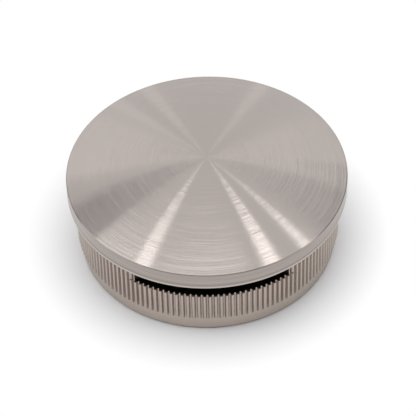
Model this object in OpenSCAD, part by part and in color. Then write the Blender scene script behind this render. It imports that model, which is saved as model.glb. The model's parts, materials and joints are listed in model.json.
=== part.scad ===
// Drive-in end cap for a round tube, turned from one piece of stainless bar.
// A domed head closes the tube flush with its outside, and a knurled spigot
// grips the tube's bore. Slots sawn under the head let the spigot's ring give
// a little as it is driven in.
// Millimetres. The cap stands on its spigot end: z = 0 is that end, +Z is the
// turning axis, and the first slot faces -Y.

/* [Tube] */
// Outside diameter of the tube, which the head matches
tube_od = 50.8; // [49.8:0.1:52]
// Wall of the tube
tube_wall = 1.5; // [1.2:0.1:2]

/* [Head] */
// Height of the head's side, from its underside to the edge of the dome
rim_h = 3.5; // [2.5:0.1:6]
// Rise of the dome above that edge
dome_rise = 3.9; // [1.5:0.1:6]
// Rounding where the dome meets the side
dome_edge_r = 0.2; // [0.1:0.05:0.4]
// Rounding of the side's lower edge
rim_edge_r = 0.5; // [0.2:0.1:0.8]

/* [Spigot] */
// Length of the spigot under the head
spigot_len = 12.6; // [11:0.1:20]
// Wall of the spigot's ring, from the floor of the knurl to the cavity
ring_wall = 2.35; // [1.6:0.05:4]
// Rounding in the corner between the ring and the cavity's ceiling
cavity_fillet_r = 0.8; // [0.3:0.1:1.5]
// Length of the plain lead-in at the spigot's free end
lead_len = 2.6; // [1.5:0.1:4]
// How far the lead-in lies below the floor of the knurl
lead_step = 0.05; // [0.02:0.01:0.3]
// Break on both edges of the free end
end_break = 0.25; // [0.1:0.05:0.5]

/* [Knurl] */
// Pitch of the straight knurl round the spigot
knurl_pitch = 1; // [0.8:0.1:1.6]
// Depth of its grooves
knurl_depth = 0.6; // [0.3:0.05:0.8]
// Width of the land left on each tooth
tooth_land = 0.3; // [0.1:0.05:0.4]
// Width of each groove's floor
groove_floor = 0.12; // [0.05:0.01:0.3]
// How much larger than the tube's bore the knurl is, across its teeth
drive_fit = 0.1; // [0.05:0.05:0.3]

/* [Slots] */
// Number of slots, evenly spaced
slot_count = 2; // [1:1:3]
// Height of each slot
slot_h = 3; // [2:0.1:3.5]
// Ring left between the slots and the head
slot_land = 0.6; // [0.4:0.1:1.5]
// Depth of each slot, measured from the knurl's teeth
slot_depth = 5; // [3.5:0.1:6]

/* [Hidden] */
$fn = 96;

// Cutters reach this far past what they cut
overcut = 1;

head_r = tube_od / 2;
tooth_r = (tube_od - 2 * tube_wall + drive_fit) / 2;
floor_r = tooth_r - knurl_depth;
lead_r = floor_r - lead_step;
cavity_r = floor_r - ring_wall;

// The dome is a cap of a sphere whose edge lies on the head's side
rim_z = spigot_len + rim_h;
dome_r = (head_r * head_r + dome_rise * dome_rise) / (2 * dome_rise);
dome_z = rim_z + dome_rise - dome_r;

// The dome's edge is an arc that touches both the sphere and the side
edge_x = head_r - dome_edge_r;
edge_z = dome_z + sqrt(pow(dome_r - dome_edge_r, 2) - pow(edge_x, 2));
edge_angle = atan2(edge_z - dome_z, edge_x);

// The teeth end in a 45 degree slope down to the lead-in
knurl_z = lead_len + tooth_r - lead_r;

// Grooves go round the spigot in a whole number
groove_count = round(PI * (tube_od - 2 * tube_wall) / knurl_pitch);
groove_mouth = 2 * tooth_r * sin(180 / groove_count) - tooth_land;
flank_slope = (groove_mouth - groove_floor) / (2 * knurl_depth);

slot_z = spigot_len - slot_land - slot_h;

// What is left in a corner outside a quarter circle, with the circle's
// centre at the origin and the corner towards +X +Y
module corner_waste(r, past = 0) {
    difference() {
        square(r + past);
        circle(r);
    }
}

// Half section of the head, from its flat underside up to the dome
module head_section() {
    difference() {
        intersection() {
            translate([0, dome_z]) circle(dome_r, $fn = 360);
            translate([0, spigot_len]) square([head_r, rim_h + dome_rise]);
        }
        translate([head_r - rim_edge_r, spigot_len + rim_edge_r])
            mirror([0, 1]) corner_waste(rim_edge_r, overcut);
        translate([edge_x, edge_z]) dome_edge_waste();
    }
}

// The corner between dome and side, outside its small arc
module dome_edge_waste() {
    reach = dome_edge_r + overcut;
    difference() {
        polygon([
            [0, 0],
            [reach, 0],
            [reach, reach],
            reach * [cos(edge_angle), sin(edge_angle)],
        ]);
        circle(dome_edge_r);
    }
}

// Half section of the spigot's ring before it is knurled
module ring_section() {
    polygon([
        [cavity_r, end_break],
        [cavity_r + end_break, 0],
        [lead_r - end_break, 0],
        [lead_r, end_break],
        [lead_r, lead_len],
        [tooth_r, knurl_z],
        [tooth_r, spigot_len],
        [cavity_r, spigot_len],
    ]);
    translate([cavity_r - cavity_fillet_r, spigot_len - cavity_fillet_r])
        corner_waste(cavity_fillet_r);
}

// The form of one groove of the knurl, laid along +X
module groove_outline() {
    mouth_x = tooth_r + overcut;
    mouth_y = groove_floor / 2 + flank_slope * (knurl_depth + overcut);
    polygon([
        [floor_r, -groove_floor / 2],
        [mouth_x, -mouth_y],
        [mouth_x, mouth_y],
        [floor_r, groove_floor / 2],
    ]);
}

// All grooves, from the free end to the head's underside
module knurl_grooves() {
    for (i = [0 : groove_count - 1])
        rotate(360 * i / groove_count)
            translate([0, 0, lead_len])
                linear_extrude(spigot_len - lead_len) groove_outline();
}

// Straight cuts across the ring, the first one at the front
module slots() {
    for (i = [0 : slot_count - 1])
        rotate(360 * i / slot_count)
            translate([-tooth_r, -tooth_r - overcut, slot_z])
                cube([2 * tooth_r, slot_depth + overcut, slot_h]);
}

// The cap: head and ring are one turned piece, then knurled and slotted
module end_cap() {
    color([0.73, 0.71, 0.69])
        difference() {
            rotate_extrude() {
                head_section();
                ring_section();
            }
            knurl_grooves();
            slots();
        }
}

end_cap();
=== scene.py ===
# %% [markdown]
# # A drive-in tube end cap in brushed stainless steel
#
# Such a cap is turned from one piece of bar: a domed head that ends flush with the tube, and a
# knurled ring under it that grips the bore. This lesson turns the same section round an axis with
# Geometry Nodes, presses the knurl into it and saws the slots. It then spends most of its effort on
# the finish and the lights, because a brushed dome is mostly a picture of what stands round it.

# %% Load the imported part
import json
import math

import bpy
from mathutils import Matrix, Vector


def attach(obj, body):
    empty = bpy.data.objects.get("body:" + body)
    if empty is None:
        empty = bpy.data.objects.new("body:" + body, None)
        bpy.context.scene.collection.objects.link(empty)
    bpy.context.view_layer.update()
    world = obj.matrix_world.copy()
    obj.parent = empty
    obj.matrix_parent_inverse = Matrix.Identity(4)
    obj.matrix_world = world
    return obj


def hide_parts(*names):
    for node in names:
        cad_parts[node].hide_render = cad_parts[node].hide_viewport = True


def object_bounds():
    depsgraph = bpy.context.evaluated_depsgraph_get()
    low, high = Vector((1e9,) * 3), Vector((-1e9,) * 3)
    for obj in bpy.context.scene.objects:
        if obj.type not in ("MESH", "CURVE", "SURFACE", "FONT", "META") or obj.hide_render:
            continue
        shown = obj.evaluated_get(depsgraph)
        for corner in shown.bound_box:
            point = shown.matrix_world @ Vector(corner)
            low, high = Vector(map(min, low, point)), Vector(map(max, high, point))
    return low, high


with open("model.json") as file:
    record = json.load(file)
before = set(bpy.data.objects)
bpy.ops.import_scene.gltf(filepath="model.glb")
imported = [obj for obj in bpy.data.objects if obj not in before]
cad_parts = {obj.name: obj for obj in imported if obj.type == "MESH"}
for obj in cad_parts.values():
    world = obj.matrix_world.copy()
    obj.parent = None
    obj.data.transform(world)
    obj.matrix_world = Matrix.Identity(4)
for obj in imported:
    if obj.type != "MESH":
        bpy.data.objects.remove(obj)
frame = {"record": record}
cad_low, cad_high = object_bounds()
print("CAD box in mm:", [round(1000 * v, 2) for v in (*cad_low, *cad_high)])

# %% [markdown]
# ## The sizes
#
# The part's box and its mounts already say how large the cap is and where its head, knurl and
# lead-in lie. The rest are small sizes that no mount states, written in millimetres as a drawing
# would give them.

# %% Read the sizes from the part
MM = 0.001
mounts = {mount["name"]: mount for mount in frame["record"]["mounts"]}
head_radius = cad_high.x
apex_height = cad_high.z
underside_height = mounts["tube_end"]["pos_m"][2]
tooth_radius = mounts["knurl"]["dims"]["r_mm"] * MM
lead_radius = mounts["lead_in"]["dims"]["r_mm"] * MM

rim_height = 3.5 * MM
dome_edge_radius = 0.2 * MM
rim_edge_radius = 0.5 * MM
groove_depth = 0.6 * MM
knurl_pitch = 1.0 * MM
tooth_land = 0.3 * MM
groove_floor = 0.12 * MM
lead_length = 2.6 * MM
end_break = 0.25 * MM
ring_wall = 2.35 * MM
cavity_fillet = 0.8 * MM
slot_height = 3.0 * MM
slot_land = 0.6 * MM
slot_depth = 5.0 * MM
slot_count = 2

floor_radius = tooth_radius - groove_depth
cavity_radius = floor_radius - ring_wall
tooth_count = round(2 * math.pi * tooth_radius / knurl_pitch)
print(f"head {2 * head_radius / MM:.1f} mm across, {tooth_count} teeth on {2 * tooth_radius / MM:.1f} mm")

# %% [markdown]
# ## The section
#
# A lathe part is its half section turned round the axis. The section starts at the dome's apex,
# runs out over the dome, down the side, in along the underside, down the ring and back up inside.
# Arcs come from a formula. A lathe only needs points where the outline bends, so the flat
# stretches have none between their ends.

# %% Draw the section
# Straight pieces that stand for each round stretch
DOME_STEPS = 16
DOME_EDGE_STEPS = 4
RIM_EDGE_STEPS = 6
FILLET_STEPS = 5


def arc(centre, radius, start, stop, steps):
    """Points of an arc, from one angle to another in degrees."""
    turns = [math.radians(start + (stop - start) * i / steps) for i in range(steps + 1)]
    return [(centre[0] + radius * math.cos(a), centre[1] + radius * math.sin(a)) for a in turns]


dome_edge_height = underside_height + rim_height
dome_rise = apex_height - dome_edge_height
dome_radius = (head_radius ** 2 + dome_rise ** 2) / (2 * dome_rise)
dome_centre = (0.0, apex_height - dome_radius)
edge_x = head_radius - dome_edge_radius
edge_z = dome_centre[1] + math.sqrt((dome_radius - dome_edge_radius) ** 2 - edge_x ** 2)
edge_angle = math.degrees(math.atan2(edge_z - dome_centre[1], edge_x))

dome = arc(dome_centre, dome_radius, 90, edge_angle, DOME_STEPS)
dome_edge = arc((edge_x, edge_z), dome_edge_radius, edge_angle, 0, DOME_EDGE_STEPS)[1:]
rim_edge_centre = (head_radius - rim_edge_radius, underside_height + rim_edge_radius)
rim_edge = arc(rim_edge_centre, rim_edge_radius, 0, -90, RIM_EDGE_STEPS)
knurl = [(tooth_radius, underside_height), (tooth_radius, lead_length + tooth_radius - lead_radius)]
lead_in = [(lead_radius, lead_length), (lead_radius, end_break), (lead_radius - end_break, 0.0)]
ring_end = [(cavity_radius + end_break, 0.0), (cavity_radius, end_break)]
fillet_centre = (cavity_radius - cavity_fillet, underside_height - cavity_fillet)
cavity = arc(fillet_centre, cavity_fillet, 0, 90, FILLET_STEPS) + [(0.0, underside_height)]

section = dome + dome_edge + rim_edge + knurl + lead_in + ring_end + cavity
section_mesh = bpy.data.meshes.new("end_cap_body")
section_edges = [(i, i + 1) for i in range(len(section) - 1)]
section_mesh.from_pydata([(x, 0.0, z) for x, z in section], section_edges, [])
print(len(section), "points in the section")

# %% [markdown]
# Geometry Nodes turn this section, so the section carries two facts for them: which points lie on
# the knurl, and which finish each stretch gets. A point's fact is a number on the vertex, and a
# finish is a number on the edge, because one edge of the section becomes one ring of faces.

# %% Mark the knurl and the finishes on the section
FINISHES = {
    "brushed_dome": 0,
    "turned_side": 1,
    "knurled": 2,
    "turned_lead": 3,
    "turned_inside": 4,
    "sawn": 5,
}
edge_finishes = (
    [FINISHES["brushed_dome"]] * (len(dome) - 1)
    + [FINISHES["turned_side"]] * (len(dome_edge) + len(rim_edge) + 1)
    + [FINISHES["knurled"]] * len(knurl)
    + [FINISHES["turned_lead"]] * (len(lead_in) - 1)
    + [FINISHES["turned_inside"]] * (len(ring_end) + len(cavity))
)
first_knurl_point = len(dome) + len(dome_edge) + len(rim_edge)

knurled = section_mesh.attributes.new("knurled", "FLOAT", "POINT")
for i in range(first_knurl_point, first_knurl_point + len(knurl)):
    knurled.data[i].value = 1.0
finish = section_mesh.attributes.new("finish", "INT", "EDGE")
for i in range(len(section) - 1):
    finish.data[i].value = edge_finishes[i]
print("teeth between heights", [round(height / MM, 2) for radius, height in knurl], "mm")

# %% [markdown]
# ## One helper for all node trees
#
# Geometry Nodes and shader nodes are built the same way: add a node, set its options, and fill or
# link its sockets. One function does all three, and every tree below uses it.

# %% The node helper
def add_node(tree, kind, sockets=None, **options):
    """Adds a node, sets its options, and fills each socket with a value or links it to an output."""
    node = tree.nodes.new(kind)
    for name, value in options.items():
        setattr(node, name, value)
    for socket, value in (sockets or {}).items():
        if isinstance(value, bpy.types.NodeSocket):
            tree.links.new(value, node.inputs[socket])
        else:
            node.inputs[socket].default_value = value
    return node


# %% [markdown]
# ## Turn the section
#
# A lathe is a grid wrapped round an axis: one direction of the grid walks along the section, the
# other walks round the turn. Each grid point looks up its section point by number and is set down
# at its angle. The columns go round the turn with the teeth, so that each tooth gets the same
# points. The seam runs down the middle of one tooth, where merging its points will close it.

# %% Name the tree's inputs
TREE_NAME = "Turn, knurl and slot"
lathe = bpy.data.node_groups.new(TREE_NAME, "GeometryNodeTree")
lathe.is_modifier = True
INPUTS = {
    "Section": "NodeSocketGeometry",
    "Teeth": "NodeSocketInt",
    "Steps per tooth": "NodeSocketInt",
    "Groove depth": "NodeSocketFloat",
    "Tooth land": "NodeSocketFloat",
    "Groove floor": "NodeSocketFloat",
    "Tooth radius": "NodeSocketFloat",
    "Slots": "NodeSocketInt",
    "Slot depth": "NodeSocketFloat",
    "Slot height": "NodeSocketFloat",
    "Slot base": "NodeSocketFloat",
    "Overcut": "NodeSocketFloat",
    "Crisp angle": "NodeSocketFloat",
    "Dome finish": "NodeSocketMaterial",
    "Side finish": "NodeSocketMaterial",
    "Knurl finish": "NodeSocketMaterial",
    "Lead-in finish": "NodeSocketMaterial",
    "Inside finish": "NodeSocketMaterial",
    "Sawn finish": "NodeSocketMaterial",
}
inputs = {}
for name, kind in INPUTS.items():
    inputs[name] = lathe.interface.new_socket(name, in_out="INPUT", socket_type=kind)
lathe.interface.new_socket("Cap", in_out="OUTPUT", socket_type="NodeSocketGeometry")
given = add_node(lathe, "NodeGroupInput").outputs
result = add_node(lathe, "NodeGroupOutput")
print(len(inputs), "inputs on the lathe tree")

# %% Wrap a grid round the axis
rows = add_node(lathe, "GeometryNodeAttributeDomainSize", {0: given["Section"]}).outputs["Point Count"]
steps = add_node(
    lathe, "FunctionNodeIntegerMath", {0: given["Teeth"], 1: given["Steps per tooth"]}, operation="MULTIPLY"
).outputs[0]
columns = add_node(lathe, "FunctionNodeIntegerMath", {0: steps, 1: 1}, operation="ADD").outputs[0]
grid = add_node(lathe, "GeometryNodeMeshGrid", {"Vertices X": columns, "Vertices Y": rows}).outputs["Mesh"]
number = add_node(lathe, "GeometryNodeInputIndex").outputs[0]
row = add_node(lathe, "FunctionNodeIntegerMath", {0: number, 1: rows}, operation="MODULO").outputs[0]
column = add_node(lathe, "FunctionNodeIntegerMath", {0: number, 1: rows}, operation="DIVIDE_FLOOR").outputs[0]

section_place = add_node(lathe, "GeometryNodeInputPosition").outputs[0]
place = add_node(
    lathe,
    "GeometryNodeSampleIndex",
    {"Geometry": given["Section"], "Value": section_place, "Index": row},
    data_type="FLOAT_VECTOR",
).outputs[0]
place = add_node(lathe, "ShaderNodeSeparateXYZ", {0: place}).outputs
teeth_round = add_node(
    lathe, "ShaderNodeMath", {0: column, 1: given["Steps per tooth"]}, operation="DIVIDE"
).outputs[0]
turn = add_node(lathe, "ShaderNodeMath", {0: teeth_round, 1: given["Teeth"]}, operation="DIVIDE").outputs[0]
angle = add_node(lathe, "ShaderNodeMath", {0: turn, 1: -math.tau}, operation="MULTIPLY").outputs[0]
cosine = add_node(lathe, "ShaderNodeMath", {0: angle}, operation="COSINE").outputs[0]
sine = add_node(lathe, "ShaderNodeMath", {0: angle}, operation="SINE").outputs[0]
outward = add_node(lathe, "ShaderNodeCombineXYZ", {"X": cosine, "Y": sine}).outputs[0]
print(len(lathe.nodes), "nodes wrap the grid")

# %% [markdown]
# ## Press the knurl
#
# A straight knurl is pressed or cut into the ring, so its teeth and the ring are one skin. The same
# holds here: no tooth is a separate copy, which would leave seams. Instead each column of the grid
# knows how far it is from the nearest tooth, and points that are marked as knurled move inwards by
# the groove's depth. A smooth step makes the flank, and its ends are the land on the tooth's top and
# the floor of the groove. A groove's middle faces -Y here, which puts the teeth within about half a
# degree of the photograph's. The solid has a tooth's middle there, so the two knurls stand half a
# tooth apart.

# %% Move the knurled points inwards
on_knurl = add_node(
    lathe, "GeometryNodeInputNamedAttribute", {"Name": "knurled"}, data_type="FLOAT"
).outputs["Attribute"]
on_knurl = add_node(
    lathe,
    "GeometryNodeSampleIndex",
    {"Geometry": given["Section"], "Value": on_knurl, "Index": row},
    data_type="FLOAT",
).outputs[0]
from_tooth = add_node(lathe, "ShaderNodeMath", {0: teeth_round, 1: 0.5}, operation="PINGPONG").outputs[0]
flank_start = add_node(
    lathe, "ShaderNodeMath", {0: given["Tooth land"], 1: 0.5}, operation="MULTIPLY"
).outputs[0]
flank_end = add_node(
    lathe, "ShaderNodeMath", {0: given["Groove floor"], 1: -0.5, 2: 0.5}, operation="MULTIPLY_ADD"
).outputs[0]
depth = add_node(
    lathe,
    "ShaderNodeMapRange",
    {"Value": from_tooth, "From Min": flank_start, "From Max": flank_end, "To Max": given["Groove depth"]},
    interpolation_type="SMOOTHSTEP",
).outputs[0]
radius = add_node(lathe, "ShaderNodeMath", {0: depth, 1: on_knurl}, operation="MULTIPLY").outputs[0]
radius = add_node(lathe, "ShaderNodeMath", {0: place["X"], 1: radius}, operation="SUBTRACT").outputs[0]
target = add_node(lathe, "ShaderNodeVectorMath", {0: outward, "Scale": radius}, operation="SCALE").outputs[0]
height = add_node(lathe, "ShaderNodeCombineXYZ", {"Z": place["Z"]}).outputs[0]
target = add_node(lathe, "ShaderNodeVectorMath", {0: target, 1: height}, operation="ADD").outputs[0]
turned = add_node(lathe, "GeometryNodeSetPosition", {"Geometry": grid, "Position": target}).outputs[0]
print(f"grooves {groove_depth / MM:.1f} mm deep between lands of {tooth_land / MM:.1f} mm")

# %% [markdown]
# Each ring of faces takes the finish of the section's edge that it came from. Faces of the grid are
# numbered as its points are, but with one fewer along the section. Then the seam of the turn and
# the two poles are closed: their points lie on each other, and merging makes them one.

# %% Carry the finishes over and close the body
SEAM = 0.0005 * MM
stretches = add_node(lathe, "FunctionNodeIntegerMath", {0: rows, 1: 1}, operation="SUBTRACT").outputs[0]
stretch = add_node(lathe, "FunctionNodeIntegerMath", {0: number, 1: stretches}, operation="MODULO").outputs[0]
section_finish = add_node(
    lathe, "GeometryNodeInputNamedAttribute", {"Name": "finish"}, data_type="INT"
).outputs["Attribute"]
section_finish = add_node(
    lathe,
    "GeometryNodeSampleIndex",
    {"Geometry": given["Section"], "Value": section_finish, "Index": stretch},
    data_type="INT",
    domain="EDGE",
).outputs[0]
turned = add_node(
    lathe,
    "GeometryNodeStoreNamedAttribute",
    {"Geometry": turned, "Name": "finish", "Value": section_finish},
    data_type="INT",
    domain="FACE",
).outputs[0]
body = add_node(lathe, "GeometryNodeMergeByDistance", {"Geometry": turned, "Distance": SEAM}).outputs[0]
print(len(lathe.nodes), "nodes make the turned and knurled body")

# %% [markdown]
# ## Saw the slots
#
# The photograph shows one slot under the head. It looks like a straight saw cut, which lets the ring
# give as it is driven in, and a second one opposite is assumed. The cutter's path is a box here,
# repeated round the axis as instances, and a Mesh Boolean takes it away. The body is closed, so the
# boolean leaves a closed body, and the faces of the cut bring their own finish with them.

# %% Cut the slots with instances of one box
reach = add_node(
    lathe, "ShaderNodeMath", {0: given["Slot depth"], 1: given["Overcut"]}, operation="ADD"
).outputs[0]
width = add_node(lathe, "ShaderNodeMath", {0: given["Tooth radius"], 1: 2.0}, operation="MULTIPLY").outputs[0]
size = add_node(lathe, "ShaderNodeCombineXYZ", {"X": width, "Y": reach, "Z": given["Slot height"]}).outputs[0]
inner = add_node(
    lathe, "ShaderNodeMath", {0: given["Slot depth"], 1: given["Tooth radius"]}, operation="SUBTRACT"
).outputs[0]
middle_y = add_node(
    lathe, "ShaderNodeMath", {0: reach, 1: -0.5, 2: inner}, operation="MULTIPLY_ADD"
).outputs[0]
middle_z = add_node(
    lathe,
    "ShaderNodeMath",
    {0: given["Slot height"], 1: 0.5, 2: given["Slot base"]},
    operation="MULTIPLY_ADD",
).outputs[0]
middle = add_node(lathe, "ShaderNodeCombineXYZ", {"Y": middle_y, "Z": middle_z}).outputs[0]
cutter = add_node(lathe, "GeometryNodeMeshCube", {"Size": size}).outputs["Mesh"]
cutter = add_node(lathe, "GeometryNodeTransform", {"Geometry": cutter, "Translation": middle}).outputs[0]
cutter = add_node(
    lathe,
    "GeometryNodeStoreNamedAttribute",
    {"Geometry": cutter, "Name": "finish", "Value": FINISHES["sawn"]},
    data_type="INT",
    domain="FACE",
).outputs[0]

axes = add_node(lathe, "GeometryNodePoints", {"Count": given["Slots"]}).outputs[0]
slot_turn = add_node(lathe, "ShaderNodeMath", {0: number, 1: given["Slots"]}, operation="DIVIDE").outputs[0]
slot_turn = add_node(lathe, "ShaderNodeMath", {0: slot_turn, 1: math.tau}, operation="MULTIPLY").outputs[0]
slot_turn = add_node(lathe, "ShaderNodeCombineXYZ", {"Z": slot_turn}).outputs[0]
cutters = add_node(
    lathe, "GeometryNodeInstanceOnPoints", {"Points": axes, "Instance": cutter, "Rotation": slot_turn}
).outputs[0]
slotted = add_node(
    lathe,
    "GeometryNodeMeshBoolean",
    {"Mesh 1": body, "Mesh 2": cutters},
    operation="DIFFERENCE",
    solver="MANIFOLD",
).outputs["Mesh"]
print(slot_count, "slots,", round(slot_depth / MM, 1), "mm deep and", round(slot_height / MM, 1), "mm high")

# %% [markdown]
# The tree ends with shading and finishes. Faces that meet at a small angle share their shading, and
# sharper edges stay crisp, as a tool leaves them. Instances are made real before the finishes are
# set, so that what leaves the tree is one plain mesh.

# %% Shade the faces and set the finishes
FINISH_INPUTS = {
    "Dome finish": "brushed_dome",
    "Side finish": "turned_side",
    "Knurl finish": "knurled",
    "Lead-in finish": "turned_lead",
    "Inside finish": "turned_inside",
    "Sawn finish": "sawn",
}
bend = add_node(lathe, "GeometryNodeInputMeshEdgeAngle").outputs["Unsigned Angle"]
soft = add_node(
    lathe, "FunctionNodeCompare", {0: bend, 1: given["Crisp angle"]}, operation="LESS_THAN"
).outputs[0]
cap = add_node(
    lathe, "GeometryNodeSetShadeSmooth", {"Geometry": slotted, "Shade Smooth": soft}, domain="EDGE"
).outputs[0]
cap = add_node(lathe, "GeometryNodeRealizeInstances", {"Geometry": cap}).outputs[0]
face_finish = add_node(
    lathe, "GeometryNodeInputNamedAttribute", {"Name": "finish"}, data_type="INT"
).outputs["Attribute"]
for material_input, finish_name in FINISH_INPUTS.items():
    chosen = add_node(
        lathe,
        "FunctionNodeCompare",
        {2: face_finish, 3: FINISHES[finish_name]},
        data_type="INT",
        operation="EQUAL",
    ).outputs[0]
    cap = add_node(
        lathe,
        "GeometryNodeSetMaterial",
        {"Geometry": cap, "Selection": chosen, "Material": given[material_input]},
    ).outputs[0]
lathe.links.new(cap, result.inputs["Cap"])
print(len(lathe.nodes), "nodes in the whole tree")

# %% [markdown]
# ## The materials
#
# The cap is one stainless steel all over. What the eye tells apart are the marks that each tool
# left: the belt on the dome, the cutter round the side, the knurling wheel, the boring bar and the
# saw. Colours are written as sRGB hex values, the way a colour picker shows them, and one function
# turns them into the linear values that shaders work with.

# %% Colours
def linear(hex_colour):
    """An sRGB hex colour as linear red, green, blue and alpha."""
    parts = [int(hex_colour[i:i + 2], 16) / 255 for i in (1, 3, 5)]
    return (*(p / 12.92 if p <= 0.04045 else ((p + 0.055) / 1.055) ** 2.4 for p in parts), 1.0)


STEEL = "#c0b7b2"
# The side's steel is a darker copy of the steel, painted shade. The knurl's and the lead-in's are lighter,
# warmer copies, painted light.
SHADED_SIDE_STEEL = "#b7ada7"
LIT_KNURL_STEEL = "#cec2ba"
LIT_LEAD_STEEL = "#c4b8ae"
SAWN_STEEL = "#c9beb6"
print("clean steel reflects", [round(part, 2) for part in linear(STEEL)[:3]])

# %% [markdown]
# ### Marks that run round the axis
#
# The cap turns while a tool touches it, so each mark is a piece of a circle. In a shader that is
# noise which is squeezed across the marks and stretched along them: it changes quickly outwards and
# upwards, and slowly round the circle. Its place therefore joins three things: the direction from
# the axis, which has no seam, and the distance from the axis and the height, both counted in marks.
#
# Two layers use this recipe. The fine layer is the scratches of a fine belt, at about the pitch that
# 320 grit leaves. They are far finer than a pixel and never show one by one. What shows is their sum: they
# lean the surface towards and away from the axis, never along the mark, so a lamp is smeared out
# across the marks and becomes a bright fan that narrows to the apex. The coarse layer is the lines
# that the eye can still part. Real ones are finer, and these are as coarse as a pixel needs.

# %% One layer of marks
SCRATCH_PITCH = 0.015 * MM
# How much a mark changes on its way round: 0 would make it a perfect circle
WANDER = 1.5


def marks_round_axis(tree, outward, distance, height, pitch):
    """Noise between 0 and 1 whose lines run round the axis and wander a little as they go."""
    along = add_node(
        tree, "ShaderNodeVectorMath", {0: outward, "Scale": WANDER}, operation="SCALE"
    ).outputs[0]
    across = add_node(tree, "ShaderNodeMath", {0: distance, 1: 1 / pitch}, operation="MULTIPLY").outputs[0]
    across = add_node(tree, "ShaderNodeCombineXYZ", {"Z": across}).outputs[0]
    spot = add_node(tree, "ShaderNodeVectorMath", {0: along, 1: across}, operation="ADD").outputs[0]
    up = add_node(tree, "ShaderNodeMath", {0: height, 1: 1 / pitch}, operation="MULTIPLY").outputs[0]
    sockets = {"Vector": spot, "W": up, "Scale": 1.0, "Detail": 2.0, "Roughness": 0.6}
    return add_node(tree, "ShaderNodeTexNoise", sockets, noise_dimensions="4D").outputs[0]


def spread_round_zero(tree, noise, size):
    """The noise, which lies between 0 and 1, as a number that swings evenly about zero."""
    return add_node(
        tree, "ShaderNodeMath", {0: noise, 1: size, 2: -0.5 * size}, operation="MULTIPLY_ADD"
    ).outputs[0]


print(f"{1 / (SCRATCH_PITCH / MM):.0f} scratches to the millimetre")

# %% [markdown]
# ### Painted light and shade in bands
#
# Some finishes also get painted light or shade by place: a painted highlight at a lower edge,
# grooves painted lighter than the lands, a painted shadow at the foot, painted shade deep in the
# slots. A colour ramp over the height, or over the distance from the axis, does that. Its stops are
# given in millimetres from where the band starts, as one would measure them.

# %% A ramp in millimetres
def painted_light_ramp(tree, place, start, stops):
    """A factor of painted light and shade that runs through its stops, each a distance in mm and a level."""
    span = stops[-1][0]
    share = add_node(
        tree, "ShaderNodeMapRange", {"Value": place, "From Min": start, "From Max": start + span * MM}
    ).outputs[0]
    ramp = add_node(tree, "ShaderNodeValToRGB", {"Fac": share})
    elements = ramp.color_ramp.elements
    for offset, level in stops[1:-1]:
        elements.new(offset / span)
    for element, (offset, level) in zip(elements, stops):
        element.color = (level, level, level, 1.0)
    return ramp.outputs[0]


# %% [markdown]
# ### Turned steel
#
# All finishes come from one function, so their difference is only in its numbers. Roughness and
# anisotropy are plain numbers on the shader: they blur a reflection, and more so across the marks
# than along them. The Tangent node gives the direction round the axis. The shader spreads light
# along its tangent, and the marks spread it across themselves, so the tangent gets a quarter turn.

# %% The steel that all finishes share
QUARTER_TURN = 0.25


def turned_steel(
    name, shade, roughness, anisotropic, scratch_lean, ring_pitch, ring_lean, ring_shade, bands=None
):
    """Steel that was worked while it turned, so that all its marks run round the axis."""
    material = bpy.data.materials.new(name)
    material.use_nodes = True
    tree = material.node_tree
    shader = tree.nodes["Principled BSDF"]
    shader.inputs["Metallic"].default_value = 1.0
    shader.inputs["Roughness"].default_value = roughness
    shader.inputs["Anisotropic"].default_value = anisotropic
    shader.inputs["Anisotropic Rotation"].default_value = QUARTER_TURN
    tangent = add_node(tree, "ShaderNodeTangent", direction_type="RADIAL", axis="Z").outputs[0]
    tree.links.new(tangent, shader.inputs["Tangent"])

    # Where the point is: how far from the axis, how high, and in which direction from it
    point = add_node(tree, "ShaderNodeTexCoord").outputs["Object"]
    height = add_node(tree, "ShaderNodeSeparateXYZ", {0: point}).outputs["Z"]
    flat = add_node(
        tree, "ShaderNodeVectorMath", {0: point, 1: (1.0, 1.0, 0.0)}, operation="MULTIPLY"
    ).outputs[0]
    distance = add_node(tree, "ShaderNodeVectorMath", {0: flat}, operation="LENGTH").outputs["Value"]
    outward = add_node(tree, "ShaderNodeVectorMath", {0: flat}, operation="NORMALIZE").outputs[0]
    scratches = marks_round_axis(tree, outward, distance, height, SCRATCH_PITCH)
    rings = marks_round_axis(tree, outward, distance, height, ring_pitch)

    # Each mark leans the surface a little towards or away from the axis, never along the mark
    normal = add_node(tree, "ShaderNodeNewGeometry").outputs["Normal"]
    lean_way = add_node(
        tree, "ShaderNodeVectorMath", {0: tangent, 1: normal}, operation="CROSS_PRODUCT"
    ).outputs[0]
    scratch = spread_round_zero(tree, scratches, scratch_lean)
    ring = spread_round_zero(tree, rings, ring_lean)
    lean = add_node(tree, "ShaderNodeMath", {0: scratch, 1: ring}, operation="ADD").outputs[0]
    lean = add_node(tree, "ShaderNodeVectorMath", {0: lean_way, "Scale": lean}, operation="SCALE").outputs[0]
    normal = add_node(tree, "ShaderNodeVectorMath", {0: normal, 1: lean}, operation="ADD").outputs[0]
    normal = add_node(tree, "ShaderNodeVectorMath", {0: normal}, operation="NORMALIZE").outputs[0]
    tree.links.new(normal, shader.inputs["Normal"])

    # The coarse lines also differ a little in shade
    tone = spread_round_zero(tree, rings, ring_shade)
    tone = add_node(tree, "ShaderNodeMath", {0: tone, 1: 1.0}, operation="ADD").outputs[0]
    # Bands of painted light and shade, where the finish has them
    if bands:
        place = {"height": height, "distance": distance}[bands["over"]]
        band = painted_light_ramp(tree, place, bands["start"], bands["stops"])
        tone = add_node(tree, "ShaderNodeMath", {0: tone, 1: band}, operation="MULTIPLY").outputs[0]
    colour = add_node(
        tree, "ShaderNodeVectorMath", {0: linear(shade)[:3], "Scale": tone}, operation="SCALE"
    ).outputs[0]
    tree.links.new(colour, shader.inputs["Base Color"])
    print(f"{name}: {len(tree.nodes)} nodes")
    return material
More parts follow.
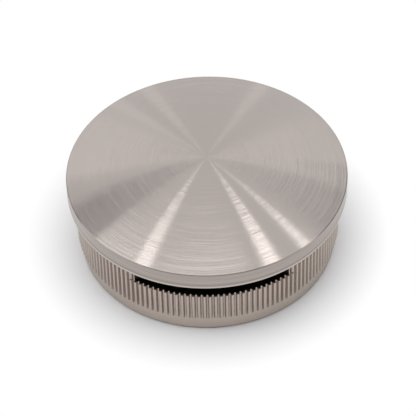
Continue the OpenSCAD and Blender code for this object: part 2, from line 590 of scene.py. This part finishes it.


# %% [markdown]
# ### The dome and the side
#
# The dome looks brushed with a belt while it turned. Its strong scratches give the eye the fans of
# light, and its weak rings the fine arcs inside them. The side looks turned and left, so it is
# smoother and mirrors the floor evenly. Its lower edge has a light line that is a painted highlight,
# a thin line a millimetre above it is painted dark, and above that the side is painted a little
# darker towards its top. All three are bands of painted light and shade.

# %% Brushed dome and turned side
circular_brushed_steel = turned_steel(
    "circular_brushed_steel", STEEL, roughness=0.16, anisotropic=1.0, scratch_lean=1.75,
    ring_pitch=0.12 * MM, ring_lean=0.17, ring_shade=0.03,
)
turned_side_steel = turned_steel(
    "turned_side_steel", SHADED_SIDE_STEEL, roughness=0.2, anisotropic=1.0, scratch_lean=0.4,
    ring_pitch=0.25 * MM, ring_lean=0.3, ring_shade=0.3,
    # Painted highlight at the lower edge, a thin line painted dark above it, painted shade up the side
    bands={
        "over": "height",
        "start": underside_height,
        "stops": ((0.0, 1.2), (0.56, 1.2), (0.84, 0.66), (1.16, 0.66), (1.47, 0.84), (3.5, 0.78)),
    },
)

# %% [markdown]
# ### The ring
#
# A knurling wheel presses the steel and leaves it dull, with no grain of its own, so the knurl is
# rougher than the rest and has no anisotropy. Its grooves are painted lighter than its lands: painted
# light that makes the light on the teeth more even than their depth alone would make it. The lead-in
# under the knurl is a plain cut, and its foot is painted darker where the cap stands, a painted
# contact shadow.

# %% Knurl and lead-in
knurled_steel = turned_steel(
    "knurled_steel", LIT_KNURL_STEEL, roughness=0.42, anisotropic=0.0, scratch_lean=0.2,
    ring_pitch=0.45 * MM, ring_lean=0.6, ring_shade=0.45,
    # Painted light: the grooves are painted lighter than the lands
    bands={
        "over": "distance",
        "start": floor_radius,
        "stops": ((0.0, 1.0), (0.12, 0.96), (0.3, 0.86), (0.5, 0.82), (0.6, 0.82)),
    },
)
turned_lead_steel = turned_steel(
    "turned_lead_steel", LIT_LEAD_STEEL, roughness=0.3, anisotropic=0.8, scratch_lean=0.5,
    ring_pitch=0.2 * MM, ring_lean=0.1, ring_shade=0.06,
    # Painted contact shadow: the foot is painted darker where the cap stands
    bands={
        "over": "height",
        "start": 0.0,
        "stops": ((0.0, 0.4), (0.23, 0.5), (0.42, 1.0), (2.6, 1.0)),
    },
)

# %% [markdown]
# ### Inside and slots
#
# The photograph doesn't show the hollow. A bored one has the clear rings of a coarse feed, so it gets
# these. A saw leaves a bright face, but the slots are deep, and behind their mouths the photograph
# shows plain black. The sawn shade therefore stays light only in the outer quarter millimetre, where
# the teeth are cut through, and falls to near black behind it.

# %% Bored hollow and sawn slots
bored_steel = turned_steel(
    "bored_steel", STEEL, roughness=0.3, anisotropic=0.8, scratch_lean=0.5,
    ring_pitch=0.25 * MM, ring_lean=0.6, ring_shade=0.2,
)
sawn_steel = turned_steel(
    "sawn_steel", SAWN_STEEL, roughness=0.5, anisotropic=0.0, scratch_lean=0.3,
    ring_pitch=0.2 * MM, ring_lean=0.3, ring_shade=0.2,
    # Painted shade: the sawn steel is painted near black deeper than the outer quarter millimetre of the
    # teeth
    bands={
        "over": "distance",
        "start": floor_radius - groove_depth,
        "stops": ((0.0, 0.05), (0.8, 0.08), (0.95, 0.8), (1.2, 1.0)),
    },
)

# %% [markdown]
# ## Run the tree
#
# The section's mesh gets the tree as a modifier, and each input is filled through its identifier
# before the tree runs for the first time. The result is then kept as a plain mesh and the modifier
# goes, so that what is handed on needs no tree. Ten steps to a tooth are enough for its flanks at
# this distance and keep the cap near 120,000 triangles.

# %% Run the lathe tree and keep its mesh
VALUES = {
    "Teeth": tooth_count,
    "Steps per tooth": 10,
    "Groove depth": groove_depth,
    "Tooth land": tooth_land / knurl_pitch,
    "Groove floor": groove_floor / knurl_pitch,
    "Tooth radius": tooth_radius,
    "Slots": slot_count,
    "Slot depth": slot_depth,
    "Slot height": slot_height,
    "Slot base": underside_height - slot_land - slot_height,
    "Overcut": 1.0 * MM,
    "Crisp angle": math.radians(30),
    "Dome finish": circular_brushed_steel,
    "Side finish": turned_side_steel,
    "Knurl finish": knurled_steel,
    "Lead-in finish": turned_lead_steel,
    "Inside finish": bored_steel,
    "Sawn finish": sawn_steel,
}
end_cap_body = bpy.data.objects.new("end_cap_body", section_mesh)
bpy.context.collection.objects.link(end_cap_body)
modifier = end_cap_body.modifiers.new(TREE_NAME, "NODES")
modifier.node_group = lathe
for name, value in VALUES.items():
    modifier[inputs[name].identifier] = value

evaluated = end_cap_body.evaluated_get(bpy.context.evaluated_depsgraph_get())
cap_mesh = bpy.data.meshes.new_from_object(evaluated)
end_cap_body.modifiers.remove(modifier)
end_cap_body.data = cap_mesh
# The section itself had no material, which leaves an empty first slot
cap_mesh.materials.pop(index=0)
print(len(cap_mesh.polygons), "faces in", len(cap_mesh.materials), "finishes")

# %% [markdown]
# ## The camera
#
# The photograph looks down on the cap at about 46 degrees with a long lens, which keeps the far
# side of the dome nearly as large as the near side. The numbers are the view in which the cap's
# outlines and the spacing of 150 teeth fall where the photograph has them, and the slot within about
# a degree. The whole studio is turned about the axis by the same small angle, so that the slot keeps
# facing -Y.

# %% Set up the camera
studio_turn = Matrix.Rotation(math.radians(-1.35), 4, "Z")
camera_elevation = math.radians(45.95)
camera_distance = 449.2 * MM
camera_aim = Vector((0.07, 3.40, 3.29)) * MM
camera_roll = math.radians(-1.4)

camera_data = bpy.data.cameras.new("camera")
camera_data.lens = 209.9
camera_data.sensor_width = 36.0
camera = bpy.data.objects.new("camera", camera_data)
bpy.context.collection.objects.link(camera)
bpy.context.scene.camera = camera
backward = Vector((0.0, -math.cos(camera_elevation), math.sin(camera_elevation)))
stand = Matrix.Translation(camera_aim + backward * camera_distance)
look = Matrix.Rotation(math.pi / 2 - camera_elevation, 4, "X") @ Matrix.Rotation(camera_roll, 4, "Z")
camera.matrix_world = studio_turn @ stand @ look
print("camera at", [round(v / MM) for v in camera.matrix_world.translation], "mm")

# %% [markdown]
# ## The floor
#
# The photograph has a white ground whose only marks are a soft shadow close round the foot. White
# paper under plain light renders light grey, so beyond the shadow the floor glows at a strength of
# 1, which is white. It does so only for rays that look straight at it from the camera, in a
# reflection or through glass. Light that bounces off it still meets plain paper, so the glow adds
# no light to the cap. Far out the glow sinks to the level of the sky, which hides the horizon when
# the cap is looked at from low down.

# %% Lay the floor
SKY_LEVEL = 0.81
# Distances from the axis over which the glow comes up, and over which it sinks to the sky's level
SHADOW_REACH = (23.3 * MM, 33.4 * MM)
SWEEP_REACH = (150 * MM, 900 * MM)
FLOOR_HALF = 60.0
FLOOR_DROP = 0.01 * MM


def square(name, half_width, half_length):
    """A flat four-cornered sheet that faces +Z."""
    mesh = bpy.data.meshes.new(name)
    corners = [(x * half_width, y * half_length, 0.0) for x, y in ((-1, -1), (1, -1), (1, 1), (-1, 1))]
    mesh.from_pydata(corners, [], [(0, 1, 2, 3)])
    sheet = bpy.data.objects.new(name, mesh)
    bpy.context.collection.objects.link(sheet)
    return sheet


white_paper = bpy.data.materials.new("white_paper")
white_paper.use_nodes = True
paper = white_paper.node_tree
paper_shader = paper.nodes["Principled BSDF"]
paper_shader.inputs["Base Color"].default_value = linear("#fafbfd")
paper_shader.inputs["Roughness"].default_value = 0.9

ray = add_node(paper, "ShaderNodeLightPath").outputs
seen = add_node(
    paper, "ShaderNodeMath", {0: ray["Is Camera Ray"], 1: ray["Is Glossy Ray"]}, operation="ADD"
).outputs[0]
seen = add_node(
    paper, "ShaderNodeMath", {0: seen, 1: ray["Is Transmission Ray"]}, operation="ADD", use_clamp=True
).outputs[0]
away = add_node(paper, "ShaderNodeTexCoord").outputs["Object"]
away = add_node(paper, "ShaderNodeVectorMath", {0: away}, operation="LENGTH").outputs["Value"]
past_shadow = add_node(
    paper,
    "ShaderNodeMapRange",
    {"Value": away, "From Min": SHADOW_REACH[0], "From Max": SHADOW_REACH[1]},
).outputs[0]
strength = add_node(
    paper,
    "ShaderNodeMapRange",
    {
        "Value": away,
        "From Min": SWEEP_REACH[0],
        "From Max": SWEEP_REACH[1],
        "To Min": 1.0,
        "To Max": SKY_LEVEL,
    },
    interpolation_type="SMOOTHSTEP",
).outputs[0]
share = add_node(paper, "ShaderNodeMath", {0: past_shadow, 1: seen}, operation="MULTIPLY").outputs[0]
glow = add_node(paper, "ShaderNodeEmission", {"Strength": strength}).outputs[0]
mixed = add_node(paper, "ShaderNodeMixShader", {0: share, 1: paper_shader.outputs[0], 2: glow}).outputs[0]
paper.links.new(mixed, paper.nodes["Material Output"].inputs["Surface"])

floor = square("floor", FLOOR_HALF, FLOOR_HALF)
floor.location.z = -FLOOR_DROP
floor.data.materials.append(white_paper)
print(f"floor white beyond {SHADOW_REACH[1] / MM:.0f} mm")

# %% [markdown]
# ## The lights
#
# A plain white sky lights everything at the level at which a colour renders about as it is
# written. The rest are soft boxes, whose places and levels were fitted to the photograph. On a
# brushed dome a soft box shows as a fan, and the fan's place says where the box stands: the dome at
# that azimuth mirrors it. So the boxes are written down as fans, and a function works out where each
# one stands.
#
# It starts from a spot on the dome and the direction in which the surface there would have to face.
# The scratches make the surface face many ways at once, along a line through the axis, so a fan is
# given by its two edges round the dome and by the two leans between which the box is mirrored.
# Azimuth 0 is the front, towards the camera, and grows to the right. Lean 0 faces straight up.

# %% Where a box stands that makes a given fan
LAMP_DISTANCE = 1.5
SPOT_RADIUS = 18 * MM


def mirrored(azimuth, lean):
    """Where a lamp stands so that the dome at this azimuth, if it leaned this far, would mirror it."""
    azimuth, lean = math.radians(azimuth), math.radians(lean)
    outwards = Vector((math.sin(azimuth), -math.cos(azimuth), 0.0))
    spot = outwards * SPOT_RADIUS + Vector((0.0, 0.0, apex_height))
    facing = outwards * math.sin(lean) + Vector((0.0, 0.0, math.cos(lean)))
    to_camera = (camera_aim + backward * camera_distance - spot).normalized()
    return spot + LAMP_DISTANCE * (2 * to_camera.dot(facing) * facing - to_camera)


def card(first_azimuth, last_azimuth, low_lean, high_lean):
    """Place, width and length of a flat card that the dome shows as a fan between two azimuths."""
    azimuth, lean = (first_azimuth + last_azimuth) / 2, (low_lean + high_lean) / 2
    centre = mirrored(azimuth, lean)
    across = mirrored(last_azimuth, lean) - mirrored(first_azimuth, lean)
    along = mirrored(azimuth, high_lean) - mirrored(azimuth, low_lean)
    back = centre.normalized()
    up = (along - along.dot(back) * back).normalized()
    side = up.cross(back)
    turn = Matrix((side, up, back)).transposed().to_4x4()
    return studio_turn @ Matrix.Translation(centre) @ turn, abs(across.dot(side)), along.length


place, width, length = card(-5, 5, 20, 30)
print(f"a fan of 10 by 10 degrees takes a box of {width:.2f} by {length:.2f} m")

# %% [markdown]
# ### The boxes
#
# Three narrow strips make the sharp fans at the front, one wide panel the soft light between them,
# and two panels the light left flank. High panels light the edge of the dome and the knurl, two low
# ones lift the sides, and three weak strips give the faint fans at the back. The lamp's power grows
# with its area, so that the number written is the brightness that the steel mirrors.

# %% Place the sky and the soft boxes
sky = bpy.data.worlds.new("white_sky")
bpy.context.scene.world = sky
sky.use_nodes = True
sky.node_tree.nodes["Background"].inputs["Color"].default_value = linear("#ffffff")
sky.node_tree.nodes["Background"].inputs["Strength"].default_value = SKY_LEVEL

# First and last azimuth of the fan, lowest and highest lean, brightness
SOFTBOXES = {
    "left_strip": (-31, -24.5, 14, 26, 2.05),
    "right_strip": (23, 29.5, 14, 26, 2.3),
    "far_right_strip": (40.5, 45, 14, 26, 1.6),
    "front_panel": (-23.5, 18, 22, 34, 0.95),
    "left_panel": (-51, -32, 24, 38, 1.4),
    "left_high_panel": (-62, -43, 42, 52, 1.6),
    "far_right_high_panel": (40, 49, 36, 48, 1.8),
    "right_side_panel": (74, 125, 5, 12, 0.42),
    "left_side_panel": (-128, -80, 8, 18, 0.35),
    "back_left_strip": (-157, -150, 8, 20, 0.22),
    "back_middle_strip": (-141, -134, 8, 20, 0.2),
    "back_right_strip": (150, 157, 8, 20, 0.22),
}
for name, (first, last, low_lean, high_lean, brightness) in SOFTBOXES.items():
    place, width, length = card(first, last, low_lean, high_lean)
    lamp = bpy.data.lights.new(name, "AREA")
    lamp.shape = "RECTANGLE"
    lamp.size = width
    lamp.size_y = length
    lamp.energy = brightness * math.pi * width * length
    box = bpy.data.objects.new(name, lamp)
    bpy.context.collection.objects.link(box)
    box.matrix_world = place
print(len(SOFTBOXES), "soft boxes")

# %% [markdown]
# ### The flags
#
# Photographers hang cloth where a shiny thing should mirror something darker than the room. The
# grey flags left and right give the darker flanks beside the fans. The one at the front is mirrored
# only by the rounded corner between dome and side, which draws the thin dark line there, and two
# low ones calm the knurl and the dome's edge at both sides. The camera doesn't see them.

# %% Hang the flags
# First and last azimuth, lowest and highest lean, colour of the cloth
FLAGS = {
    "left_flag": (-72, -52, 8, 30, "#cccccc"),
    "right_flag": (54, 76, 14, 34, "#ececec"),
    "front_flag": (-37, 36, 40, 60, "#080808"),
    "right_low_flag": (48, 90, 30, 52, "#202020"),
    "left_low_flag": (-88, -60, 34, 52, "#8c8c8c"),
}
for name, (first, last, low_lean, high_lean, cloth_colour) in FLAGS.items():
    place, width, length = card(first, last, low_lean, high_lean)
    flag = square(name, width / 2, length / 2)
    flag.matrix_world = place
    flag.visible_camera = False
    cloth = bpy.data.materials.new(name + "_cloth")
    cloth.use_nodes = True
    cloth.node_tree.nodes["Principled BSDF"].inputs["Base Color"].default_value = linear(cloth_colour)
    flag.data.materials.append(cloth)
print(len(FLAGS), "flags")

# %% [markdown]
# ## Hand the piece over
#
# The cap is one piece that stands still, so its body rides on the part's root. It replaces the
# plain CAD cap in the picture. The box of the CAD part is printed when the part is loaded.

bpy.context.scene.view_settings.view_transform = "Standard"
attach(end_cap_body, "root")
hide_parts("end_cap")
